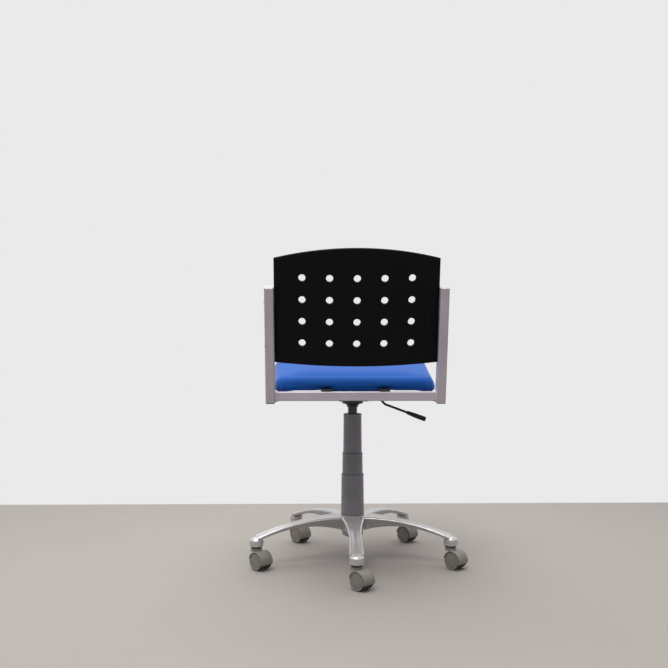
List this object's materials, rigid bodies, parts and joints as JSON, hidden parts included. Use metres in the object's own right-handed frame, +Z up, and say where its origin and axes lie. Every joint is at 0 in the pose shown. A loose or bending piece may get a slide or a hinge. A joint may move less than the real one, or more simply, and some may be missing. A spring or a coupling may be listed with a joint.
{
  "type": "swivel office chair",
  "caption": "Armless swivel office chair: perforated curved back shell on a tubular frame, padded seat, lever-operated gas lift with sleeve cover, and a star base on twin-wheel castors.",
  "frame": {"origin": "on the floor under the axis of the gas lift", "axes": "+Z up, +Y the way the sitter looks, +X the sitter's right, where the lever is"},
  "size_m": [0.6306, 0.6116, 0.9019],
  "materials": {
    "black_shell": "satin moulded",
    "silver_paint": "satin silver",
    "blue_upholstery": "smooth woven cover over foam",
    "dark_grey_plastic": "satin",
    "castor_grey": "satin",
    "wheel_grey": "satin",
    "black_trim": "matt",
    "black_steel": "semi-gloss",
    "dark_tube": "gloss",
    "polished_aluminium": "polished casting",
    "zinc_steel": "zinc plated",
    "white_bush": "plain",
    "board_wood": "plain moulded ply"
  },
  "bodies": {
    "base": {"star_base": "polished_aluminium", "castor_sleeves": "black_trim", "castor_stems": "zinc_steel", "lift_tube": "dark_tube", "guide_bush": "white_bush", "bearing_lower_race": "zinc_steel", "cover_lower": "dark_grey_plastic"},
    "lift_rod": {"piston_rod": "zinc_steel", "piston": "zinc_steel", "bearing_balls": "zinc_steel", "bearing_upper_race": "zinc_steel", "rod_clip": "zinc_steel"},
    "middle_sleeve": {"cover_middle": "dark_grey_plastic"},
    "seat": {"gas_cylinder": "dark_tube", "cylinder_gland": "black_trim", "cover_upper": "dark_grey_plastic", "taper_socket": "black_steel", "mechanism_housing": "black_steel", "mechanism_plate": "black_steel", "lever_pivot": "zinc_steel", "mechanism_bolts": "zinc_steel", "tee_nuts": "zinc_steel", "seat_board": "board_wood", "seat_cushion": "blue_upholstery", "left_upright": "silver_paint", "right_upright": "silver_paint", "upright_caps": "silver_paint", "upright_plugs": "black_trim", "rear_rail": "silver_paint", "left_seat_bar": "black_steel", "right_seat_bar": "black_steel", "backrest_shell": "black_shell", "backrest_screws": "zinc_steel"},
    "lever": {"lever_rod": "black_steel", "lever_grip": "black_trim"},
    "valve": {"valve_button": "zinc_steel"},
    "castor_1": {"castor_1_hood": "castor_grey", "castor_1_axle": "zinc_steel"},
    "castor_1_wheel_left": {"castor_1_wheel_left": "wheel_grey"},
    "castor_1_wheel_right": {"castor_1_wheel_right": "wheel_grey"},
    "castor_2": {"castor_2_hood": "castor_grey", "castor_2_axle": "zinc_steel"},
    "castor_2_wheel_left": {"castor_2_wheel_left": "wheel_grey"},
    "castor_2_wheel_right": {"castor_2_wheel_right": "wheel_grey"},
    "castor_3": {"castor_3_hood": "castor_grey", "castor_3_axle": "zinc_steel"},
    "castor_3_wheel_left": {"castor_3_wheel_left": "wheel_grey"},
    "castor_3_wheel_right": {"castor_3_wheel_right": "wheel_grey"},
    "castor_4": {"castor_4_hood": "castor_grey", "castor_4_axle": "zinc_steel"},
    "castor_4_wheel_left": {"castor_4_wheel_left": "wheel_grey"},
    "castor_4_wheel_right": {"castor_4_wheel_right": "wheel_grey"},
    "castor_5": {"castor_5_hood": "castor_grey", "castor_5_axle": "zinc_steel"},
    "castor_5_wheel_left": {"castor_5_wheel_left": "wheel_grey"},
    "castor_5_wheel_right": {"castor_5_wheel_right": "wheel_grey"}
  },
  "joints": [
    {"name": "seat_swivel", "type": "hinge", "parent": "base", "child": "lift_rod", "pos_m": [0, 0, 0.08], "axis": [0, 0, 1], "continuous": true},
    {"name": "seat_height", "type": "slide", "parent": "lift_rod", "child": "seat", "axis": [0, 0, 1], "range_m": [-0.12, 0.02]},
    {"name": "middle_sleeve_slide", "type": "slide", "parent": "base", "child": "middle_sleeve", "axis": [0, 0, 1], "range_m": [-0.06, 0.01]},
    {"name": "lever_lift", "type": "hinge", "parent": "seat", "child": "lever", "pos_m": [0.033, 0, 0.5068], "axis": [0, -1, 0], "range_deg": [0, 8], "stiffness_Nm_per_rad": 1.5},
    {"name": "valve_press", "type": "slide", "parent": "seat", "child": "valve", "axis": [0, 0, 1], "range_m": [-0.00471, 0]},
    {"name": "castor_1_swivel", "type": "hinge", "parent": "base", "child": "castor_1", "pos_m": [0, -0.295, 0.059], "axis": [0, 0, 1], "continuous": true},
    {"name": "castor_1_wheel_left_spin", "type": "hinge", "parent": "castor_1", "child": "castor_1_wheel_left", "pos_m": [0.02334, -0.29712, 0.025], "axis": [0.7071, 0.7071, 0], "continuous": true},
    {"name": "castor_1_wheel_right_spin", "type": "hinge", "parent": "castor_1", "child": "castor_1_wheel_right", "pos_m": [0.00212, -0.31833, 0.025], "axis": [0.7071, 0.7071, 0], "continuous": true},
    {"name": "castor_2_swivel", "type": "hinge", "parent": "base", "child": "castor_2", "pos_m": [0.28056, -0.09116, 0.059], "axis": [0, 0, 1], "continuous": true},
    {"name": "castor_2_wheel_left_spin", "type": "hinge", "parent": "castor_2", "child": "castor_2_wheel_left", "pos_m": [0.3039, -0.09328, 0.025], "axis": [0.7071, 0.7071, 0], "continuous": true},
    {"name": "castor_2_wheel_right_spin", "type": "hinge", "parent": "castor_2", "child": "castor_2_wheel_right", "pos_m": [0.28268, -0.11449, 0.025], "axis": [0.7071, 0.7071, 0], "continuous": true},
    {"name": "castor_3_swivel", "type": "hinge", "parent": "base", "child": "castor_3", "pos_m": [0.1734, 0.23866, 0.059], "axis": [0, 0, 1], "continuous": true},
    {"name": "castor_3_wheel_left_spin", "type": "hinge", "parent": "castor_3", "child": "castor_3_wheel_left", "pos_m": [0.19673, 0.23654, 0.025], "axis": [0.7071, 0.7071, 0], "continuous": true},
    {"name": "castor_3_wheel_right_spin", "type": "hinge", "parent": "castor_3", "child": "castor_3_wheel_right", "pos_m": [0.17552, 0.21532, 0.025], "axis": [0.7071, 0.7071, 0], "continuous": true},
    {"name": "castor_4_swivel", "type": "hinge", "parent": "base", "child": "castor_4", "pos_m": [-0.1734, 0.23866, 0.059], "axis": [0, 0, 1], "continuous": true},
    {"name": "castor_4_wheel_left_spin", "type": "hinge", "parent": "castor_4", "child": "castor_4_wheel_left", "pos_m": [-0.15006, 0.23654, 0.025], "axis": [0.7071, 0.7071, 0], "continuous": true},
    {"name": "castor_4_wheel_right_spin", "type": "hinge", "parent": "castor_4", "child": "castor_4_wheel_right", "pos_m": [-0.17128, 0.21532, 0.025], "axis": [0.7071, 0.7071, 0], "continuous": true},
    {"name": "castor_5_swivel", "type": "hinge", "parent": "base", "child": "castor_5", "pos_m": [-0.28056, -0.09116, 0.059], "axis": [0, 0, 1], "continuous": true},
    {"name": "castor_5_wheel_left_spin", "type": "hinge", "parent": "castor_5", "child": "castor_5_wheel_left", "pos_m": [-0.25723, -0.09328, 0.025], "axis": [0.7071, 0.7071, 0], "continuous": true},
    {"name": "castor_5_wheel_right_spin", "type": "hinge", "parent": "castor_5", "child": "castor_5_wheel_right", "pos_m": [-0.27844, -0.11449, 0.025], "axis": [0.7071, 0.7071, 0], "continuous": true}
  ],
  "couplings": [
    {"joint": "middle_sleeve_slide", "follows": "seat_height", "ratio": 0.5},
    {"joint": "valve_press", "follows": "lever_lift", "m_per_rad": -0.033}
  ]
}
